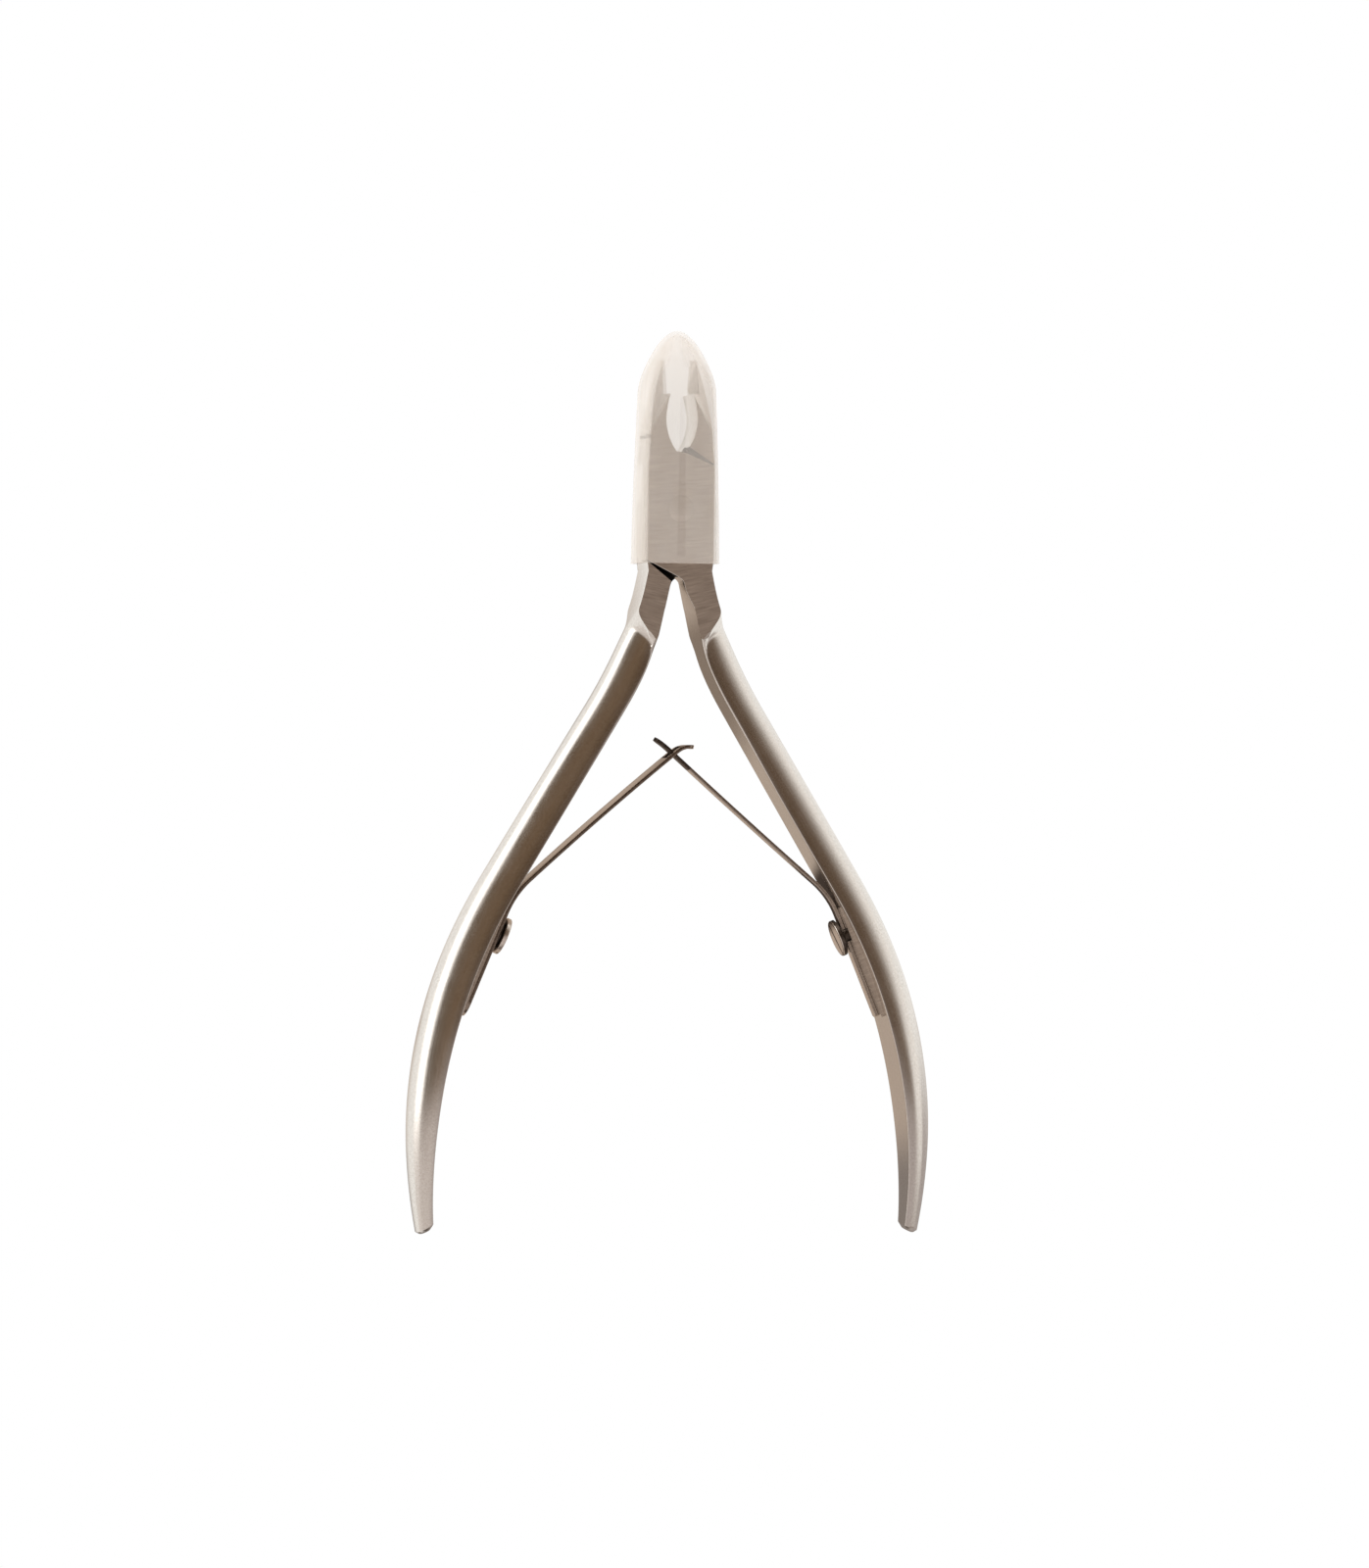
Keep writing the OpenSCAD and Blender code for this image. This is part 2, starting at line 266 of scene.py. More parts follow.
THICKNESS = [(-3, 3.1), (0, 3.1), (5.5, 3.2), (10.5, 4.0), (20, 4.15), (30, 4.25), (45, 4.3),
             (60, 4.25), (68, 3.9), (75, 3.4), (82, 2.65), (89, 1.9)]
WIDTH = [(-3, 5.4), (8, 5.05), (11, 5.1), (14, 5.3), (18, 5.4), (32, 5.5), (46, 6.2), (58, 6.9), (66, 7.0),
         (72, 6.7), (79, 5.6), (89, 3.3)]
NECK_BOX_W = 6.7


def centreline():
    """The handle's centreline in the lever's frame, jaws closed: line, arc, line, arc, with
    the changes of curvature eased. Returns s, points and headings."""
    step = 0.05
    s = np.arange(-6, S_END + 6, step)
    heading = np.interp(s, [NECK_LEN, NECK_LEN + BEND_1, NECK_LEN + BEND_1 + SHANK_LEN, S_END],
                        [NECK_HEADING, SHANK_HEADING, SHANK_HEADING, END_HEADING])
    window = int(7 / step)
    padded = np.pad(heading, window, mode="edge")
    eased = np.convolve(padded, np.ones(window) / window, mode="same")[window:-window]
    a = np.radians(eased)
    steps = np.stack((np.sin(a), -np.cos(a)), 1) * step
    points = np.cumsum(steps, 0)
    start = np.array([np.interp(0, s, points[:, k]) for k in (0, 1)])
    return s, points - start + np.array(NECK_START), eased


LINE_S, LINE_P, LINE_H = centreline()


def centre(s):
    """Point, direction outwards and direction of travel at distance s."""
    p = np.array([np.interp(s, LINE_S, LINE_P[:, k]) for k in (0, 1)])
    h = math.radians(float(np.interp(s, LINE_S, LINE_H)))
    return p, np.array((math.cos(h), math.sin(h))), np.array((math.sin(h), -math.cos(h)))


def handle_section(thick, wide, boxy, fillet=0.16):
    """[outwards, across] points: flat on the inner side and domed outwards, or a rounded box."""
    power_out = 0.18 if boxy else 1.2
    power_across = 0.18 if boxy else 1
    flat = wide / 2 - fillet
    inner = -thick / 2
    corner = [(inner + fillet * (1 - math.cos(a)), flat + fillet * math.sin(a))
              for a in np.linspace(0, math.pi / 2, 6)[1:-1]]
    points = [(inner, z) for z in np.linspace(-flat, flat, 7)] + corner
    for q in np.linspace(0, math.pi, 65):
        out = inner + fillet + (thick - fillet) * max(math.sin(q), 0) ** power_out
        across = wide / 2 * math.copysign(abs(math.cos(q)) ** power_across, math.cos(q))
        points.append((out, across))
    points += [(x, -z) for x, z in reversed(corner)]
    return np.array(points)


def handle_ring(s, shrink=0.0):
    """A ring of the handle. The box of the neck gives way to the dome along a slanted line,
    sooner on the outer side."""
    thick = smooth_lookup(s, THICKNESS) - 2 * shrink
    shoulder = 0.09 + 0.13 * (1 - smooth_step(s, 18, 32))
    shoulder += 0.3 * smooth_step(s, 4.5, 8) * (1 - smooth_step(s, 8.5, 12.5))
    dome = handle_section(thick, smooth_lookup(s, WIDTH) - 2 * shrink, False, shoulder)
    box = handle_section(thick, NECK_BOX_W, True)
    p, out, way = centre(s)
    slant = smooth_step(s, S_END - 8, S_END)
    ring = []
    for (x, z), (box_x, box_z) in zip(dome, box):
        aside = box_x / (thick / 2)
        change = 7.5 - 0.9 * aside + 0.35 * (1 - aside * aside)
        share = 1 - smooth_step(s, change - 0.9, change + 2.2)
        x, z = x + (box_x - x) * share, z + (box_z - z) * share
        q = p + out * x + way * slant * x * (0.28 - 0.1 * z)
        ring.append((q[0], q[1], z))
    return ring


def handle():
    """Neck and handle in one sweep, down to the slanted end."""
    stations = np.concatenate((np.arange(-2, 5, 0.5), np.arange(5, 12, 0.2),
                               np.arange(12, S_END - 0.6, 0.45)))
    rings = [handle_ring(s) for s in stations]
    for before_end, shrink in ((0.5, 0), (0.42, 0.03), (0.05, 0.4), (0, 0.5)):
        rings.append(handle_ring(S_END - before_end, shrink))
    return tube("handle", rings)


PLATE_LOW = turned((-HEAD_HALF_W, -6.35), -HALF_OPEN)
PLATE_CROTCH = turned((-0.25, -8.33), -HALF_OPEN)
PLATE_TOP = turned((0.7, 6.8), -HALF_OPEN)
PLATE_HIGH = turned((HEAD_HALF_W, 5.3), -HALF_OPEN)
NECK_CORNER = turned((HEAD_HALF_W, -6.45), -HALF_OPEN)
NECK_CROTCH = turned((1.15, -8.85), -HALF_OPEN)
JAW_CORNER = turned((-HEAD_HALF_W, 5.45), -HALF_OPEN)
JAW_ROOT = turned((-0.9, 7.6), -HALF_OPEN)
WEB = [turned(p, -HALF_OPEN) for p in
       ((0.2, -8.66), (0.42, -8.93), (0.54, -9.3), (0.68, -9.9), (1.0, -10.6), (1.95, -12.4))]


def hollow():
    """Edge of the drop-shaped hollow behind the cutting edge, lean at its root and its top."""
    low, high = 7.0, EDGE_HEEL + 0.2
    lower_belly, leanness = 0.85, 1.1
    return [(-EDGE_GAP - HOLLOW_DEPTH * math.sin(math.pi * u**lower_belly) ** leanness,
             low + u * (high - low))
            for u in np.linspace(0.01, 0.99, 30)]


def head_outline():
    outline = [PLATE_LOW, PLATE_CROTCH] + WEB + [(2.2, -12.9)]
    outline += [NECK_CORNER, PLATE_HIGH, PLATE_TOP, (0.15, 7.0)]
    outline += hollow()
    outline += [(-EDGE_GAP, JAW_REACH), (-0.6, JAW_REACH)]
    outline += bow((-0.75, 17.6), (-3.3, 7.6), -0.35)
    return outline + [JAW_CORNER]


def inner_edge(s):
    """Just clear of the neck's inner side, where the web beside it ends on the lap's side."""
    p, out, _ = centre(s)
    return p - out * (smooth_lookup(s, THICKNESS) / 2 + 0.02)


def lap_room():
    """Room for the other lever's plate, between the neck's shoulder and the jaw's."""
    def beyond(corner, root, share):
        return tuple(c + (c - r) * share for c, r in zip(corner, root))

    outline = [tuple(inner_edge(s)) for s in np.linspace(8, 2.4, 9)]
    outline += [NECK_CROTCH, beyond(NECK_CORNER, NECK_CROTCH, 0.6), (6, 9.5), (JAW_ROOT[0], 9.5),
                JAW_ROOT, beyond(JAW_CORNER, JAW_ROOT, 0.6), (-6, -15.5)]
    return prism("lap_room", outline, -HALF_T - 1, LAP_GAP / 2)


def edge_bevel(side):
    """Room behind one side of the cutting edge."""
    land = 0.12
    profile = [(0.5, land), (-EDGE_GAP, land), (-1.5, 3.5), (0.5, 3.5)]
    rings = [[(x, y, side * z) for x, z in profile] for y in (EDGE_HEEL - 0.5, JAW_REACH + 1)]
    return tube("edge_bevel", rings)


def jaw_slope(side):
    """Room above the jaw's sloping face, which starts along a slanted line."""
    outer = Vector((-3.07, 9.66, side * HALF_T))
    heel = Vector((-0.44, 13.6, side * HALF_T))
    tip = Vector((-0.3, JAW_REACH, side * 1.3))
    normal = (heel - outer).cross(tip - outer).normalized()
    if normal.z * side < 0:
        normal.negate()
    turn = Matrix.Translation(outer) @ normal.to_track_quat("Z", "Y").to_matrix().to_4x4()
    half = 25
    return block("jaw_slope", (-half, -half, 0), (half, half, FAR), turn)


def bend_frame():
    """The spring's own frame on the lever: origin at the bend, -Y along the foot."""
    return (Matrix.Translation((BEND_AT[0], BEND_AT[1], 0))
            @ Matrix.Rotation(math.radians(FOOT_HEADING), 4, "Z"))


def spring_seat():
    half_w = STRIP_W / 2 + 0.15
    return block("seat", (STRIP_T / 2 + 0.005, -FOOT_LEN - 0.1, -half_w), (2.2, -1.6, half_w),
                 bend_frame())


def foot_room():
    room = block("foot_room", (-3, -FOOT_LEN - 0.3, -STRIP_W / 2 - 0.3),
                 (STRIP_T / 2, 0.6, STRIP_W / 2 + 0.3))
    room.data.transform(bend_frame())
    return room


def drilled(radius, low, high, turn):
    hole = lathe("hole", [(0, low), (radius, low), (radius, high), (0, high)], 48)
    hole.data.transform(turn)
    return hole


def neck_flats(side):
    """What grinding takes off the head and neck on one side."""
    low, high = sorted((side * HALF_T, side * 8))
    return block("ground", (-20, -22, low), (20, 30, high))


def lever_shape(name, pin_r):
    """One lever in its own frame: handle at +X, jaw at -X, plate on the +Z side."""
    lever = handle()
    lever.name = name
    for side in (-1, 1):
        cut(lever, neck_flats(side))
    join(lever, prism("head", head_outline(), -HALF_T, HALF_T, bevel=0.06))
    join(lever, spring_seat())
    cut(lever, lap_room())
    for side in (-1, 1):
        cut(lever, edge_bevel(side))
        cut(lever, jaw_slope(side))
    cut(lever, drilled(pin_r, -5, 5, Matrix.Identity(4)))
    across = bend_frame() @ Matrix.Translation((0, -SCREW_AT, 0)) @ Matrix.Rotation(
        math.pi / 2, 4, "Y")
    cut(lever, drilled(SCREW_R, -1, 3.2, across))
    cut(lever, foot_room())
    return lever


def swing_relief(side):
    """The moving plate is ground back where closing would swing it against the guard."""
    half_w, half_len = 3, 6.5
    turn = Matrix.Rotation(math.radians(-2 * HALF_OPEN), 4, "Z") @ Matrix.Translation(
        (side * (RELIEF_AT + half_w), 0, 0))
    return block("relief", (-half_w, -half_len, -FAR), (half_w, half_len, FAR), turn)


def side_turn(side):
    """From the lever's own frame to the open tool, for the right (1) or left (-1) side."""
    turn = Matrix.Rotation(math.radians(side * HALF_OPEN), 4, "Z")
    return turn if side > 0 else turn @ FLIP


def off_line(point, a, b):
    """Distance of a point of the plan from the line through a and b."""
    way = np.array(b) - np.array(a)
    off = np.array((point.x, point.y)) - np.array(a)
    return abs(way[0] * off[1] - way[1] * off[0]) / np.linalg.norm(way)


def in_lap(polygon):
    """Whether a face of the lever, in its own frame, is a face of the lap that is painted with near-black
    shade for the deep gap: the lap plane or a shoulder of the lap."""
    centre_point, normal = polygon.center, polygon.normal
    if abs(normal.z) > 0.99:
        return abs(centre_point.z - LAP_GAP / 2) < 0.02 and centre_point.y > -9.6
    shoulders = [(PLATE_LOW, PLATE_CROTCH), (NECK_CORNER, NECK_CROTCH), (PLATE_HIGH, PLATE_TOP),
                 (JAW_CORNER, JAW_ROOT)]
    upright = abs(normal.z) < 0.05 and abs(centre_point.x) < 4.6 and abs(centre_point.y) < 9.4
    return upright and min(off_line(centre_point, a, b) for a, b in shoulders) < 0.03


def finish_lever(lever, side):
    """Shading, ground faces, the brushing direction, and the place in the tool."""
    smooth_by_angle(lever, 27)
    mesh = lever.data
    store_brushing(mesh)
    for polygon in mesh.polygons:
        height = abs(polygon.center.z)
        on_flat = abs(height - HALF_T) < 0.01
        beside_seat = polygon.center.y < -40 and 1.8 < height < 2.1
        ground = abs(polygon.normal.z) > 0.9995 and (on_flat or beside_seat)
        # material 2 paints the lap faces with near-black shade for the deep gap
        polygon.material_index = 1 if ground else 2 if in_lap(polygon) else 0
    owners = {}
    for polygon in mesh.polygons:
        for key in polygon.edge_keys:
            owners.setdefault(key, set()).add(polygon.material_index)
    sharp = mesh.attributes.get("sharp_edge") or mesh.attributes.new(
        "sharp_edge", "BOOLEAN", "EDGE")
    for edge in mesh.edges:
        if len(owners.get(tuple(edge.key), ())) == 2:
            sharp.data[edge.index].value = True
    mesh.transform(side_turn(side))
    in_row_frame(lever)


def store_brushing(mesh):
    """For each vertex: distance along the handle, distance outwards and distance across,
    in millimetres, so that brush lines can follow the curve of the handle. On the head they
    are measured straight along the tool."""
    co = np.empty(len(mesh.vertices) * 3)
    mesh.vertices.foreach_get("co", co)
    co = co.reshape(-1, 3)
    coarse = slice(None, None, 8)
    s, line, heading = LINE_S[coarse], LINE_P[coarse], LINE_H[coarse]
    nearest = np.array([np.argmin(((line - p[:2]) ** 2).sum(1)) for p in co])
    out = np.stack((np.cos(np.radians(heading)), np.sin(np.radians(heading))), 1)[nearest]
    offset = co[:, :2] - line[nearest]
    beside = (offset * out).sum(1)
    way = np.stack((out[:, 1], -out[:, 0]), 1)
    along = s[nearest] + (offset * way).sum(1)
    start_x, start_y = NECK_START
    above = co[:, 1] > start_y
    along[above] = -co[above, 1] + start_y
    beside[above] = co[above, 0] - start_x
    attribute = mesh.attributes.new("brushing", "FLOAT_VECTOR", "POINT")
    attribute.data.foreach_set("vector", np.stack((along, beside, co[:, 2]), 1).ravel())


# ---------------------------------------------------------------- springs, screws and rivet

BEND_OPEN = turned(BEND_AT, HALF_OPEN)
FOOT_OPEN = FOOT_HEADING + HALF_OPEN
ARM_OPEN = math.degrees(math.asin(BEND_OPEN[0] / ARM_LEN))


def spring_path(past, curl_len, curl_turn, arch):
    """Centre of the strip from the foot's end to the curled tip, for the right side of the
    open tool: distances from the foot's end, points, headings (from +Y towards -X) and the
    distances where the foot, bend, arm and curl begin and end. The arm runs past the crossing
    and is arched by this many degrees either way."""
    turn = ARM_OPEN - FOOT_OPEN
    radius = BEND_LEN / math.radians(turn)
    tangent = radius * math.tan(math.radians(turn / 2))
    foot, arm = FOOT_LEN - tangent, ARM_LEN + past - tangent
    marks = [0, foot, foot + BEND_LEN, foot + BEND_LEN + arm, foot + BEND_LEN + arm + curl_len]
    headings = [FOOT_OPEN, FOOT_OPEN, ARM_OPEN + arch, ARM_OPEN - arch,
                ARM_OPEN - arch + curl_turn]
    s = np.linspace(0, marks[-1], 400)
    heading = np.interp(s, marks, headings)
    a = np.radians((heading[1:] + heading[:-1]) / 2)
    steps = np.stack((-np.sin(a), np.cos(a)), 1) * (s[1] - s[0])
    points = np.vstack(([0, 0], np.cumsum(steps, 0)))
    start = np.array(BEND_OPEN) + FOOT_LEN * np.array(
        (math.sin(math.radians(FOOT_OPEN)), -math.cos(math.radians(FOOT_OPEN))))
    return s, points + start, heading, marks


def strip_ring(p, heading, wide):
    """Section of the strip with rounded edges."""
    h = math.radians(heading)
    out = np.array((math.cos(h), math.sin(h)))
    ring = []
    for x, z in rounded_box(STRIP_T / 2, wide / 2, 0.06, 4):
        q = p + out * x
        ring.append((q[0], q[1], z))
    return ring


def rounded_width(distance, wide, radius):
    """Width of a strip at this distance from an end whose corners have this radius."""
    if distance >= radius:
        return wide
    return wide - 2 * radius + 2 * math.sqrt(max(radius**2 - (radius - distance) ** 2, 0.0004))


def strip_stations(marks, shoulder):
    """Where the strip's rings stand, closer together where its width or heading changes."""
    _, bend, arm, _, end = marks
    parts = ((0, 2, 21), (2, bend, 12), (bend, arm, 21), (arm, shoulder, 24),
             (shoulder, shoulder + 0.6, 9), (shoulder + 0.6, end - 1.2, 14), (end - 1.2, end, 17))
    return sorted(set(np.concatenate([np.linspace(*part) for part in parts])))


def strip_width(station, shoulder, end, is_right):
    """Width of the strip, rounded at both ends. The right one narrows to its tongue."""
    wide, tip_w, tip_r = STRIP_W, STRIP_W, 1.0
    if is_right:
        wide -= (STRIP_W - TONGUE_W) * smooth_step(station, shoulder, shoulder + 0.5)
        tip_w, tip_r = TONGUE_W, TONGUE_W / 2
    wide = min(wide, rounded_width(station, STRIP_W, STRIP_W / 2))
    wide = min(wide, rounded_width(end - station, tip_w, tip_r))
    return max(wide, 0.25)


def spring(side):
    """One spring: a single strip with a foot, a bend, an arm and a curled end. The right one
    narrows to a tongue that passes through the left one's slot."""
    is_right = side > 0
    right_form, left_form = (0.6, 2.4, 10, 0.8), (0.4, 2.3, 52, -1.6)
    past, curl_len, curl_turn, arch = right_form if is_right else left_form
    s, points, headings, marks = spring_path(past, curl_len, curl_turn, arch)
    shoulder = marks[3] - past - (ARM_LEN - TONGUE_FROM)
    rings = []
    for station in strip_stations(marks, shoulder):
        p = np.array([np.interp(station, s, points[:, k]) for k in (0, 1)])
        heading = float(np.interp(station, s, headings))
        rings.append(strip_ring(p, heading, strip_width(station, shoulder, marks[4], is_right)))
    strip = tube("right_spring" if is_right else "left_spring", rings)
    arm = (Matrix.Translation((BEND_OPEN[0], BEND_OPEN[1], 0))
           @ Matrix.Rotation(math.radians(ARM_OPEN), 4, "Z"))
    if not is_right:
        half_len, half_w = SLOT_LEN / 2, SLOT_W / 2
        slot = block("slot", (-2, ARM_LEN - half_len, -half_w), (2, ARM_LEN + half_len, half_w), arm)
        cut(strip, slot)
    foot = side_turn(1) @ bend_frame()
    across = foot @ Matrix.Translation((0, -SCREW_AT, 0)) @ Matrix.Rotation(math.pi / 2, 4, "Y")
    cut(strip, drilled(FOOT_HOLE_R, -2, 2, across))
    smooth_by_angle(strip, 35)
    paint_tip_shade(strip, arm, is_right)
    if not is_right:
        strip.data.transform(FLIP)
    in_row_frame(strip)
    return strip


def paint_tip_shade(strip, arm, is_right):
    """Painted shade: the tongue and the inside of the slot are painted black, and the strip's narrow edges
    darker.
    """
    to_arm = arm.inverted()
    for polygon in strip.data.polygons:
        place = to_arm @ polygon.center
        in_tongue = is_right and place.y > TONGUE_FROM + 0.3
        in_slot = (not is_right and abs(place.y - ARM_LEN) < SLOT_LEN / 2 + 0.05
                   and abs(place.z) < SLOT_W / 2 + 0.05)
        on_edge = abs(polygon.normal.z) > 0.6
        polygon.material_index = 1 if in_tongue or in_slot else 2 if on_edge else 0


def blend_spring(strip, side):
    """Bakes the strip's placement into its mesh and hides the CAD foot and arm pieces of this side."""
    if side > 0:
        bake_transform(strip)
        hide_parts("right_spring_foot", "right_spring_arm")
    else:
        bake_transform(strip)
        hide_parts("left_spring_foot", "left_spring_arm")


def screw(side):
    """Slotted, undercut pan-head screw on the spring's inner face. The underside and the slot floor, and
    on the right one the rim too, are painted dark as shade.
    """
    head_r, head_h, rim, shank = 2.3, 1.0, 0.86, 3.45
    profile = [(0, -shank), (SCREW_R - 0.2, -shank), (SCREW_R, 0.2 - shank), (SCREW_R, 0), (1.5, 0),
               (1.55, 0.2), (2.15, 0.36), (head_r, 0.44), (head_r, rim)]
    profile += [(2.28, 0.91), (2.22, 0.955), (2.1, 0.98), (1.7, 0.99), (1.2, 0.995)]
    profile += [(0.3, head_h), (0, head_h)]
    body = lathe("right_screw" if side > 0 else "left_screw", profile)
    half_slot, slot_depth, slot_turn = 0.23, 0.42, 20 * side
    slot = block("screw_slot", (-half_slot, -4, head_h - slot_depth), (half_slot, 4, head_h + 2),
                 Matrix.Rotation(math.radians(slot_turn), 4, "Z"))
    cut(body, slot)
    smooth_by_angle(body, 32)
    # painted shade on everything below this height: the underside, and on the right screw the rim as well
    dark_below = 0.8 if side > 0 else 0.4
    for polygon in body.data.polygons:
        under = polygon.center.z < dark_below
        in_slot = polygon.center.z < head_h - 0.02 and abs(polygon.normal.z) > 0.9
        polygon.material_index = 1 if under or in_slot else 0
    place = (side_turn(side) @ bend_frame() @ Matrix.Translation((-STRIP_T / 2, -SCREW_AT, 0))
             @ Matrix.Rotation(-math.pi / 2, 4, "Y"))
    body.data.transform(place)
    return in_row_frame(body)


def rivet():
    """Flush rivet, ground with the head: its faces are level, with a faintly softened rim."""
    half = [(RIVET_R, HALF_T - 0.04), (RIVET_R - 0.015, HALF_T - 0.01), (RIVET_R - 0.04, HALF_T)]
    profile = [(0, -HALF_T)] + [(r, -h) for r, h in reversed(half)] + half + [(0, HALF_T)]
    body = lathe("rivet", profile)
    smooth_by_angle(body, 35)
    store_brushing(body.data)
    return in_row_frame(body)


# ---------------------------------------------------------------- tip guard

def cap_halves(y):
    """Half width, half thickness and corner radius of the guard's outer face at height y."""
    run = (y - CAP_MOUTH) / (CAP_SHOULDER - CAP_MOUTH)
    if y <= CAP_SHOULDER:
        taper = 0.58 * max(run, 0) ** 1.5
        return CAP_MOUTH_HALF_W - taper, CAP_HALF_T, CAP_CORNER
    u = min((y - CAP_SHOULDER) / (CAP_REACH - CAP_SHOULDER), 1)
    half_w = CAP_SHOULDER_HALF_W * (1 - u**1.9) ** 0.58
    half_t = CAP_HALF_T * (1 - u**2.3) ** 0.58
    radius = CAP_CORNER + (min(half_w, half_t) - CAP_CORNER) * smooth_step(u, 0, 0.8)
    return half_w, half_t, min(radius, half_w * 0.98, half_t * 0.98)


def cap_ring(y, half_w, half_t, radius):
    return [(x, y, z) for x, z in rounded_box(half_w, half_t, radius, 12)]


def jaw_cap():
    """Dip-moulded guard: a thin flattened bullet, hollow, with a rounded lip at its mouth."""
    body = np.linspace(CAP_MOUTH + 0.15, CAP_SHOULDER, 40)
    nose = CAP_SHOULDER + (CAP_REACH - CAP_SHOULDER) * np.sin(np.radians(np.linspace(4, 88.5, 30)))
    rings = []
    for y in reversed(np.concatenate((body, nose))):
        half_w, half_t, radius = cap_halves(y)
        rings.append(cap_ring(y, half_w, half_t, radius))
    half_w, half_t, radius = cap_halves(CAP_MOUTH)
    lip = 0.5 * CAP_WALL
    for a in np.linspace(-60, 240, 11):
        out = lip * math.cos(math.radians(a)) - lip * 0.7
        down = CAP_MOUTH - 0.06 - 0.8 * lip * math.sin(math.radians(a))
        rings.append(cap_ring(down, half_w + out, half_t + out, max(radius + out, 0.1)))
    shift = CAP_WALL / (CAP_REACH - CAP_MOUTH)
    for y in np.concatenate((body, nose)):
        half_w, half_t, radius = cap_halves(y)
        inside = y - shift * (y - CAP_MOUTH)
        thin = min(CAP_WALL, 0.9 * half_w, 0.9 * half_t)
        rings.append(cap_ring(inside, half_w - thin, half_t - thin, max(radius - thin, 0.02)))
    cap = tube("tip_guard", rings)
    smooth_by_angle(cap, 45)
    return in_row_frame(cap)


# ---------------------------------------------------------------- materials

class Nodes:
    """A small helper that adds shader nodes and links them."""

    def __init__(self, tree):
        self.tree = tree
        tree.nodes.clear()

    def add(self, kind, inputs=None, **settings):
        node = self.tree.nodes.new(kind)
        for key, value in settings.items():
            setattr(node, key, value)
        for key, value in (inputs or {}).items():
            self.put(node.inputs[key], value)
        return node

    def put(self, socket, value):
        if isinstance(value, bpy.types.NodeSocket):
            self.tree.links.new(value, socket)
        elif isinstance(value, bpy.types.Node):
            self.tree.links.new(value.outputs[0], socket)
        else:
            socket.default_value = value

    def math(self, operation, a, b=0.0):
        return self.add("ShaderNodeMath", {0: a, 1: b}, operation=operation)

    def ramp(self, factor, stops):
        node = self.add("ShaderNodeValToRGB", {"Fac": factor})
        band = node.color_ramp
        band.elements[0].position, band.elements[0].color = stops[0]
        band.elements[1].position, band.elements[1].color = stops[-1]
        for position, colour in stops[1:-1]:
            band.elements.new(position).color = colour
        return node

    def noise(self, vector, scale, detail=3.0, rough=0.5):
        return self.add("ShaderNodeTexNoise", {"Vector": vector, "Scale": scale,
                                               "Detail": detail, "Roughness": rough})

    def stretched(self, vector, scales):
        return self.add("ShaderNodeMapping", {"Vector": vector, "Scale": scales})

    def blend(self, factor, a, b):
        node = self.add("ShaderNodeMix", data_type="RGBA")
        self.put(node.inputs[0], factor)
        self.put(node.inputs[6], a)
        self.put(node.inputs[7], b)
        return node.outputs[2]

    def mix_value(self, factor, a, b):
        return self.add("ShaderNodeMix", {0: factor, 2: a, 3: b}, data_type="FLOAT").outputs[0]

    def bump(self, height, strength, distance, normal=None):
        node = self.add("ShaderNodeBump", {"Height": height, "Strength": strength,
                                           "Distance": distance})
        if normal is not None:
            self.put(node.inputs["Normal"], normal)
        return node


def new_material(name):
    material = bpy.data.materials.new(name)
    material.use_nodes = True
    return material, Nodes(material.node_tree)


def metal(nodes, colour, roughness, normal):
    shader = nodes.add("ShaderNodeBsdfPrincipled", {"Metallic": 1.0, "Roughness": roughness,
                                                    "Base Color": colour, "Normal": normal})
    nodes.add("ShaderNodeOutputMaterial", {"Surface": shader})


def range_of(nodes, factor, low, high):
    """low to high as factor goes from 0.3 to 0.7, which is where a noise's values lie."""
    return nodes.add("ShaderNodeMapRange", {"Value": factor, "From Min": 0.3, "From Max": 0.7,
                                            "To Min": low, "To Max": high})


def eased(nodes, value, start, end):
    """0 to 1 as value goes from start to end, with soft ends."""
    return nodes.add("ShaderNodeMapRange", {"Value": value, "From Min": start, "From Max": end},
                     interpolation_type="SMOOTHSTEP")


def satin_steel():
    """Handles: satin finish, finely brushed along the handle, with a fine speckle."""
    material, nodes = new_material("satin_steel")
    place = nodes.add("ShaderNodeAttribute", attribute_name="brushing").outputs["Vector"]
    lines = nodes.noise(nodes.stretched(place, (0.12, 5, 5)), 1.0, 5, 0.65)
    speckle = nodes.noise(place, 3.6, 3, 0.65)
    cloud = nodes.noise(place, 0.35, 2, 0.5)
    tone = nodes.blend(range_of(nodes, speckle, 0, 1), (0.575, 0.535, 0.495, 1), (0.70, 0.67, 0.635, 1))
    tone = nodes.blend(range_of(nodes, cloud, 0, 0.5), tone, (0.655, 0.61, 0.565, 1))
    rough = nodes.math("ADD", range_of(nodes, lines, 0.17, 0.24), range_of(nodes, cloud, 0, 0.03))
    normal = nodes.bump(lines, 0.12, 0.00002)
    normal = nodes.bump(speckle, 0.06, 0.00002, normal)
    metal(nodes, tone, rough, normal)
    return material


def ground_steel():
    """Flats of the head and necks: ground across the neck, a little darker and rougher."""
    material, nodes = new_material("ground_steel")
    place = nodes.add("ShaderNodeAttribute", attribute_name="brushing").outputs["Vector"]
    fine = nodes.noise(nodes.stretched(place, (4.5, 0.3, 1)), 1.0, 5, 0.7)
    broad = nodes.noise(nodes.stretched(place, (1.6, 0.15, 1)), 1.0, 3, 0.5)
    tone = nodes.blend(range_of(nodes, fine, 0, 1), (0.45, 0.385, 0.33, 1), (0.74, 0.65, 0.565, 1))
    tone = nodes.blend(range_of(nodes, broad, 0, 0.35), tone, (0.54, 0.455, 0.38, 1))
    rough = range_of(nodes, fine, 0.36, 0.48)
    metal(nodes, tone, rough, nodes.bump(fine, 0.25, 0.00003))
    return material


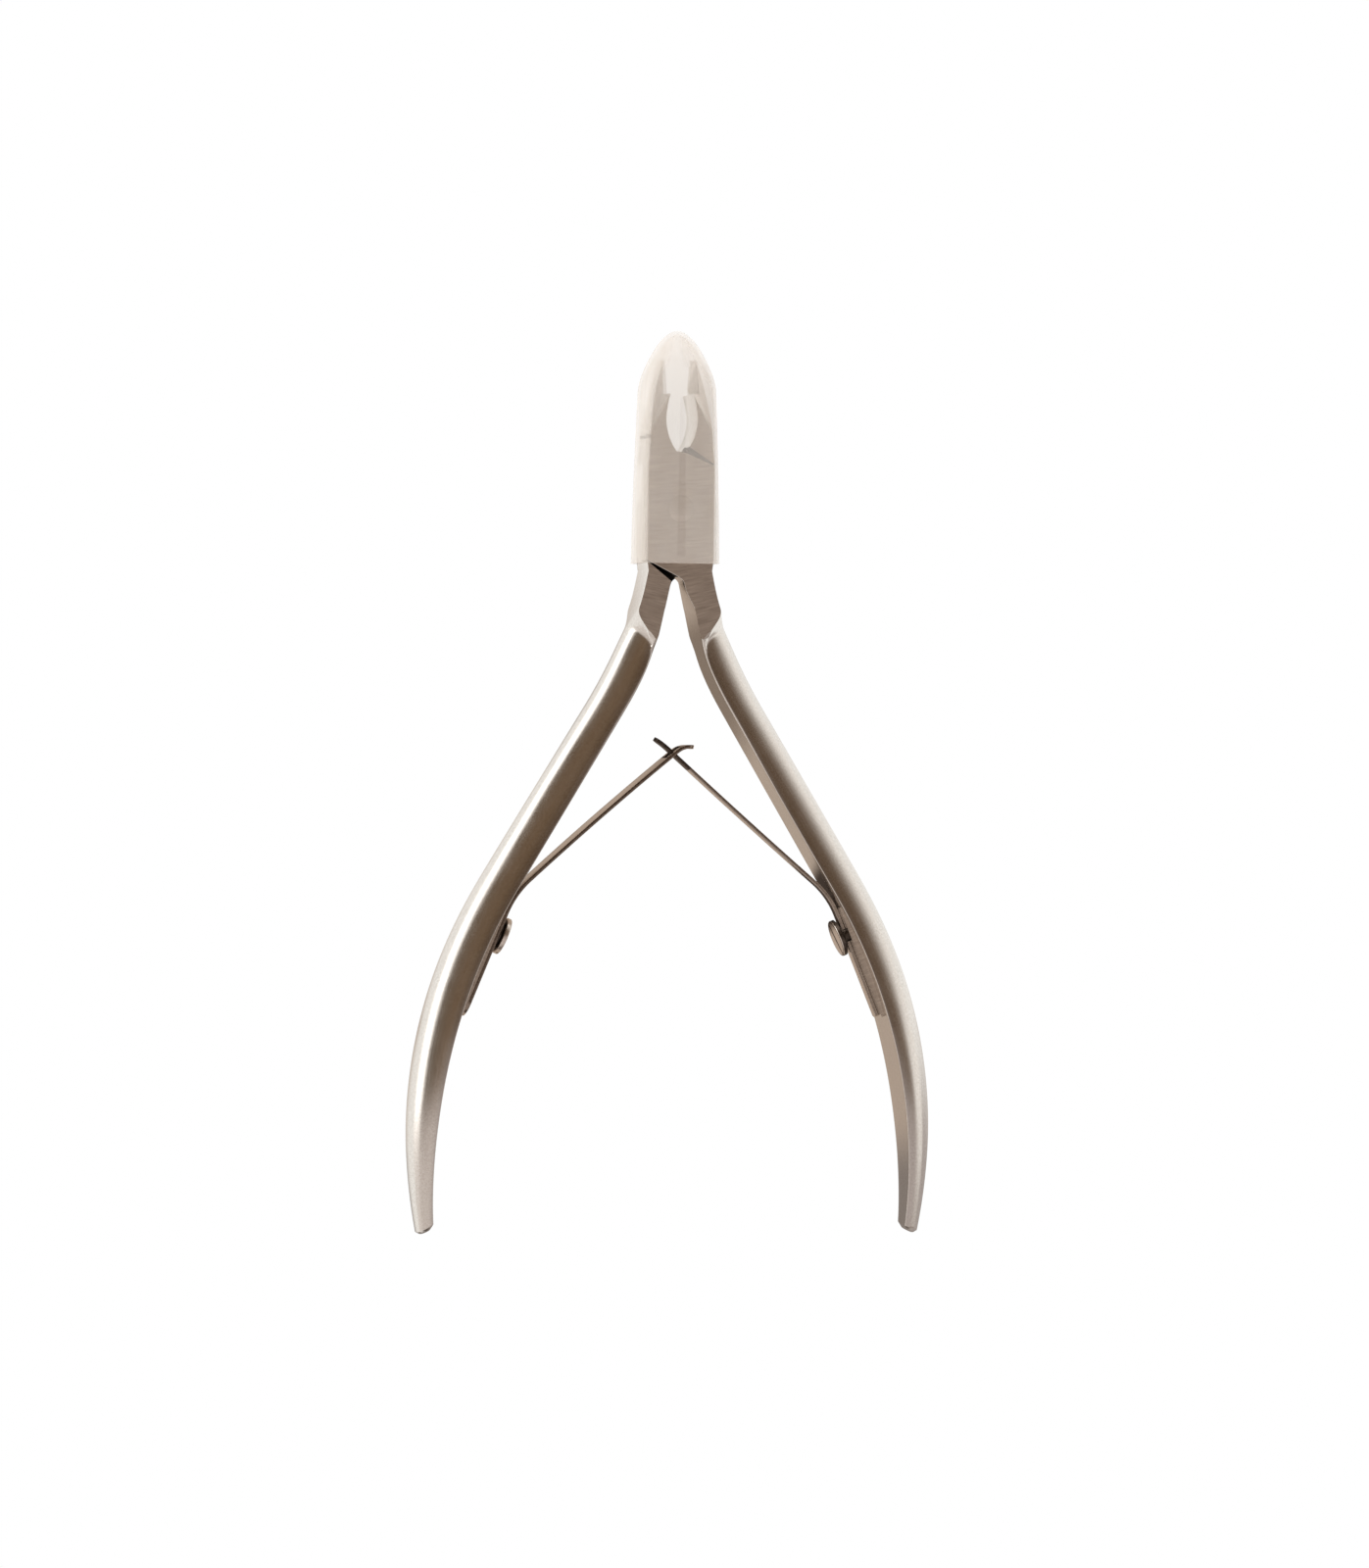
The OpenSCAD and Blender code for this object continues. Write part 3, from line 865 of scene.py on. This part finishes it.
def spring_strip(name, dark, light):
    """Rolled strip: speckled between these two tones, with faint clouds."""
    material, nodes = new_material(name)
    place = nodes.add("ShaderNodeTexCoord").outputs["Object"]
    speckle = nodes.noise(place, 6000.0, 3, 0.6)
    cloud = nodes.noise(place, 700.0, 3, 0.5)
    tone = nodes.blend(range_of(nodes, speckle, 0, 1), dark, light)
    tone = nodes.blend(range_of(nodes, cloud, 0, 0.4), tone, dark)
    metal(nodes, tone, range_of(nodes, speckle, 0.2, 0.32), nodes.bump(speckle, 0.2, 0.00002))
    return material


def turned_steel():
    """Screws: turned steel with a fine speckle and faint clouds."""
    material, nodes = new_material("turned_steel")
    place = nodes.add("ShaderNodeTexCoord").outputs["Object"]
    speckle = nodes.noise(place, 3500.0, 4, 0.65)
    cloud = nodes.noise(place, 500.0, 2, 0.5)
    tone = nodes.blend(range_of(nodes, speckle, 0, 1), (0.6, 0.535, 0.48, 1), (0.84, 0.775, 0.715, 1))
    tone = nodes.blend(range_of(nodes, cloud, 0, 0.4), tone, (0.7, 0.62, 0.56, 1))
    metal(nodes, tone, range_of(nodes, cloud, 0.26, 0.36), nodes.bump(speckle, 0.2, 0.00003))
    return material


def frosted_vinyl():
    """Milky dip-moulded vinyl: each face of the thin wall veils what is behind it."""
    material, nodes = new_material("frosted_vinyl")
    place = nodes.add("ShaderNodeTexCoord").outputs["Object"]
    cloud = nodes.noise(nodes.stretched(place, (1, 0.35, 1)), 450.0, 3, 0.5)
    streaks = nodes.noise(nodes.stretched(place, (1, 0.06, 1)), 900.0, 3, 0.5)
    tone = nodes.blend(range_of(nodes, cloud, 0, 1), (0.87, 0.79, 0.71, 1), (0.91, 0.845, 0.78, 1))
    facing = nodes.add("ShaderNodeSeparateXYZ", {0: nodes.add("ShaderNodeTexCoord").outputs["Normal"]})
    sideways = nodes.math("MULTIPLY", nodes.math("ABSOLUTE", facing.outputs[0]), 0.2)
    veil = nodes.math("ADD", range_of(nodes, streaks, 0.208, 0.238), sideways)
    shader = nodes.add("ShaderNodeBsdfPrincipled", {
        "Base Color": tone, "Roughness": range_of(nodes, streaks, 0.42, 0.5),
        "Alpha": veil, "Normal": nodes.bump(streaks, 0.015, 0.00002)})
    shader.inputs["IOR"].default_value = 1.4
    nodes.add("ShaderNodeOutputMaterial", {"Surface": shader})
    return material


def lap_painted_shade():
    """Faces inside the lap joint: painted near-black shade of the deep, closed gap, dull, with a faint
    mottle.
    """
    material, nodes = new_material("lap_painted_shade")
    place = nodes.add("ShaderNodeAttribute", attribute_name="brushing").outputs["Vector"]
    lap_shade_mottle = nodes.noise(place, 1.6, 4, 0.6)
    tone = nodes.blend(range_of(nodes, lap_shade_mottle, 0, 1), (0.003, 0.002, 0.002, 1), (0.012, 0.009, 0.007, 1))
    shader = nodes.add("ShaderNodeBsdfPrincipled", {
        "Base Color": tone, "Roughness": range_of(nodes, lap_shade_mottle, 0.5, 0.7), "Metallic": 0.0,
        "Normal": nodes.bump(lap_shade_mottle, 0.2, 0.00005)})
    shader.inputs["Specular IOR Level"].default_value = 0.1
    nodes.add("ShaderNodeOutputMaterial", {"Surface": shader})
    return material


def painted_shade_steel():
    """Painted shade for the tongue, the slot, the undersides of the screw heads, the screw slots and the
    right screw's rim: dark, with a faint mottle.
    """
    material, nodes = new_material("painted_shade_steel")
    place = nodes.add("ShaderNodeTexCoord").outputs["Object"]
    dark_mottle = nodes.noise(place, 2500.0, 4, 0.65)
    tone = nodes.blend(range_of(nodes, dark_mottle, 0, 1), (0.03, 0.022, 0.018, 1), (0.16, 0.13, 0.11, 1))
    metal(nodes, tone, range_of(nodes, dark_mottle, 0.35, 0.5), nodes.bump(dark_mottle, 0.2, 0.00003))
    return material


def floor_painted_shade(nodes, x, y):
    """Painted shade on the floor between the handles, for the floor's light and reflections."""
    brown, dark_brown = (0.56, 0.46, 0.38, 1), (0.31, 0.245, 0.195, 1)
    end_brown, screw_brown = (0.3, 0.26, 0.235, 1), (0.07, 0.052, 0.042, 1)
    by_head = nodes.math("MULTIPLY", eased(nodes, y, 0.0, 0.008), eased(nodes, y, 0.0215, 0.017))
    shade_pool = nodes.blend(by_head, brown, dark_brown)
    shade_pool = nodes.blend(eased(nodes, y, -0.041, -0.049), shade_pool, end_brown)
    by_screw = nodes.math("MULTIPLY", eased(nodes, y, -0.0105, -0.0125), eased(nodes, y, -0.0195, -0.018))
    by_screw = nodes.math("MULTIPLY", by_screw, eased(nodes, x, 0.0, 0.01))
    return nodes.blend(by_screw, shade_pool, screw_brown)


def floor_white():
    """Pale floor: plain white to the camera. In light and reflections it glows soft white, with painted
    shade: a brown pool between the handles, darker just below the head, near the handle ends and by the
    right screw, and greyer around the right handle's end."""
    material, nodes = new_material("floor_white")
    place = nodes.add("ShaderNodeTexCoord").outputs["Object"]
    x, y, _ = nodes.add("ShaderNodeSeparateXYZ", {0: place}).outputs
    soft_white, pale_grey = (1.2, 1.2, 1.18, 1), (0.55, 0.5, 0.48, 1)
    # painted shade pool between the handles, narrowing towards the head
    pool_top, pool_slope, pool_half_w = 0.022, 0.55, 0.0285
    slant = nodes.math("MULTIPLY", nodes.math("SUBTRACT", pool_top, y), pool_slope)
    half = nodes.math("MINIMUM", slant, pool_half_w)
    beyond = nodes.math("SUBTRACT", nodes.math("ABSOLUTE", x), half)
    shade_pool = floor_painted_shade(nodes, x, y)
    # painted shade: greyer around the right handle's end
    by_right_end = nodes.math("MULTIPLY", eased(nodes, x, 0.0, 0.02), eased(nodes, y, -0.024, -0.05))
    around = nodes.blend(by_right_end, soft_white, pale_grey)
    tone = nodes.blend(eased(nodes, beyond, 0.001, 0.011), shade_pool, around)
    lit = nodes.add("ShaderNodeEmission", {"Color": tone, "Strength": 1.0})
    seen = nodes.add("ShaderNodeEmission", {"Color": (1, 1, 1, 1), "Strength": 1.0})
    which = nodes.add("ShaderNodeLightPath").outputs["Is Camera Ray"]
    mixed = nodes.add("ShaderNodeMixShader", {0: which, 1: lit, 2: seen})
    nodes.add("ShaderNodeOutputMaterial", {"Surface": mixed})
    return material


# ---------------------------------------------------------------- stage

def ceiling(nodes, x):
    """Dim and warm, darkest just right of the zenith."""
    across = nodes.add("ShaderNodeMapRange", {"Value": x, "From Min": -0.8, "From Max": 0.8})
    return nodes.ramp(across, [
        (0.0, (0.15, 0.11, 0.075, 1)), (0.1, (0.165, 0.115, 0.075, 1)), (0.25, (0.195, 0.127, 0.077, 1)),
        (0.36, (0.195, 0.127, 0.074, 1)), (0.5, (0.115, 0.071, 0.04, 1)), (0.65, (0.085, 0.05, 0.026, 1)),
        (0.78, (0.135, 0.086, 0.05, 1)), (0.87, (0.15, 0.1, 0.066, 1)), (1.0, (0.22, 0.16, 0.115, 1))])


def studio():
    """Soft light. A bright white wall stands to the left and a paler one fades in to the
    right, both low; above is a dim warm ceiling, darkest just right of the zenith, which
    turns pale grey towards -Y. It is dark low down at -Y, which only the handles' ends show.
    Matt surfaces are lit by an even white."""
    world = bpy.data.worlds.new("studio")
    bpy.context.scene.world = world
    world.use_nodes = True
    nodes = Nodes(world.node_tree)
    way = nodes.add("ShaderNodeTexCoord").outputs["Generated"]
    x, y, z = nodes.add("ShaderNodeSeparateXYZ", {0: way}).outputs
    overhead = ceiling(nodes, x)
    to_right = eased(nodes, x, -0.1, 0.1)
    pale = nodes.blend(eased(nodes, x, -0.35, 0.3), (0.82, 0.75, 0.71, 1), (0.6, 0.54, 0.52, 1))
    colour = nodes.blend(eased(nodes, y, 0.06, -0.2), overhead, pale)
    front = eased(nodes, y, 0.06, -0.18)
    left_wall = nodes.blend(front, (2.5, 2.48, 2.44, 1), (0.95, 0.89, 0.85, 1))
    right_wall = nodes.blend(eased(nodes, y, -0.04, -0.4), (1.2, 1.17, 1.13, 1), (0.42, 0.36, 0.33, 1))
    wall = nodes.blend(to_right, left_wall, right_wall)
    height = nodes.math("SUBTRACT", z, nodes.math("MULTIPLY", x, 0.09))
    right_share = nodes.mix_value(eased(nodes, y, 0.03, 0.3), eased(nodes, z, 0.57, 0.37),
                                  eased(nodes, z, 0.75, 0.1))
    share = nodes.mix_value(to_right, eased(nodes, height, 0.56, 0.46), right_share)
    colour = nodes.blend(share, colour, wall)
    colour = nodes.blend(eased(nodes, y, -0.88, -0.96), colour, (0.07, 0.05, 0.04, 1))
    matt = nodes.add("ShaderNodeLightPath").outputs["Is Diffuse Ray"]
    even_white = (1.0, 0.985, 0.97, 1)
    colour = nodes.blend(matt, colour, even_white)
    background = nodes.add("ShaderNodeBackground", {"Color": colour, "Strength": 1.0})
    nodes.add("ShaderNodeOutputWorld", {"Surface": background})


def floor():
    """In metres, and just below the tool so that the two never touch."""
    half, below = 1.5, 0.0002
    plane = mesh_object("floor", [(-half, -half, 0), (half, -half, 0), (half, half, 0),
                                  (-half, half, 0)], [(0, 1, 2, 3)])
    plane.location.z = -below
    plane.data.materials.append(floor_white())


def camera():
    """A long lens from above, leaning to the tool's left, rolled very slightly."""
    lean, roll = math.radians(13.2), math.radians(0.62)
    distance, frame_height, sensor = 0.9, 0.192, 36
    aim = Vector((0.0015, -0.00028, 0.0035))
    back = Vector((-math.sin(lean), 0, math.cos(lean)))
    level = Vector((math.cos(lean), 0, math.sin(lean)))
    up = Vector((0, math.cos(roll), 0)) - math.sin(roll) * level
    right = up.cross(back)
    lens = bpy.data.cameras.new("camera")
    lens.sensor_fit = "VERTICAL"
    lens.sensor_height = sensor
    lens.lens = sensor * distance / frame_height
    lens.clip_start, lens.clip_end = 0.05, 20
    seat = bpy.data.objects.new("camera", lens)
    bpy.context.scene.collection.objects.link(seat)
    turn = Matrix((right, up, back)).transposed().to_4x4()
    seat.matrix_world = Matrix.Translation(aim + back * distance) @ turn
    bpy.context.scene.camera = seat


# ---------------------------------------------------------------- the scene

def add_piece(obj, body, slot, materials, *nodes):
    for material in materials:
        obj.data.materials.append(material)
    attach(obj, body)
    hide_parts(*nodes)


def build():
    lever_metals = [satin_steel(), ground_steel(), lap_painted_shade()]
    turned_metal = turned_steel()
    right = lever_shape("right_handle_and_jaw", RIVET_R)
    left = lever_shape("left_handle_and_jaw", RIVET_R + RIVET_PLAY)
    for side in (-1, 1):
        relief = swing_relief(side)
        relief.data.transform(side_turn(-1).inverted())
        cut(left, relief)
    finish_lever(right, 1)
    finish_lever(left, -1)
    add_piece(right, "right_side", "satin_steel", lever_metals, "right_lever")
    add_piece(left, "left_side", "satin_steel", lever_metals, "left_lever")
    add_piece(rivet(), "right_side", "satin_steel", [lever_metals[1]], "pivot_rivet")
    strip_metal = spring_strip("spring_strip", (0.58, 0.51, 0.45, 1), (0.76, 0.69, 0.63, 1))
    # the strips' narrow edges get painted shade, deeper on the left spring
    edge_painted_shade = {1: spring_strip("edge_painted_shade", (0.33, 0.275, 0.23, 1), (0.57, 0.5, 0.44, 1)),
                  -1: spring_strip("edge_deeper_painted_shade", (0.17, 0.13, 0.1, 1), (0.4, 0.33, 0.28, 1))}
    black = painted_shade_steel()
    for side in (1, -1):
        strip = spring(side)
        for material in (strip_metal, black, edge_painted_shade[side]):
            strip.data.materials.append(material)
        blend_spring(strip, side)
    add_piece(screw(1), "right_side", "screw_steel", [turned_metal, black], "right_spring_screw")
    add_piece(screw(-1), "left_side", "screw_steel", [turned_metal, black], "left_spring_screw")
    add_piece(jaw_cap(), "guard", "frosted_vinyl", [frosted_vinyl()], "jaw_cap")


bpy.context.scene.view_settings.view_transform = "Standard"
camera()
studio()
floor()
build()
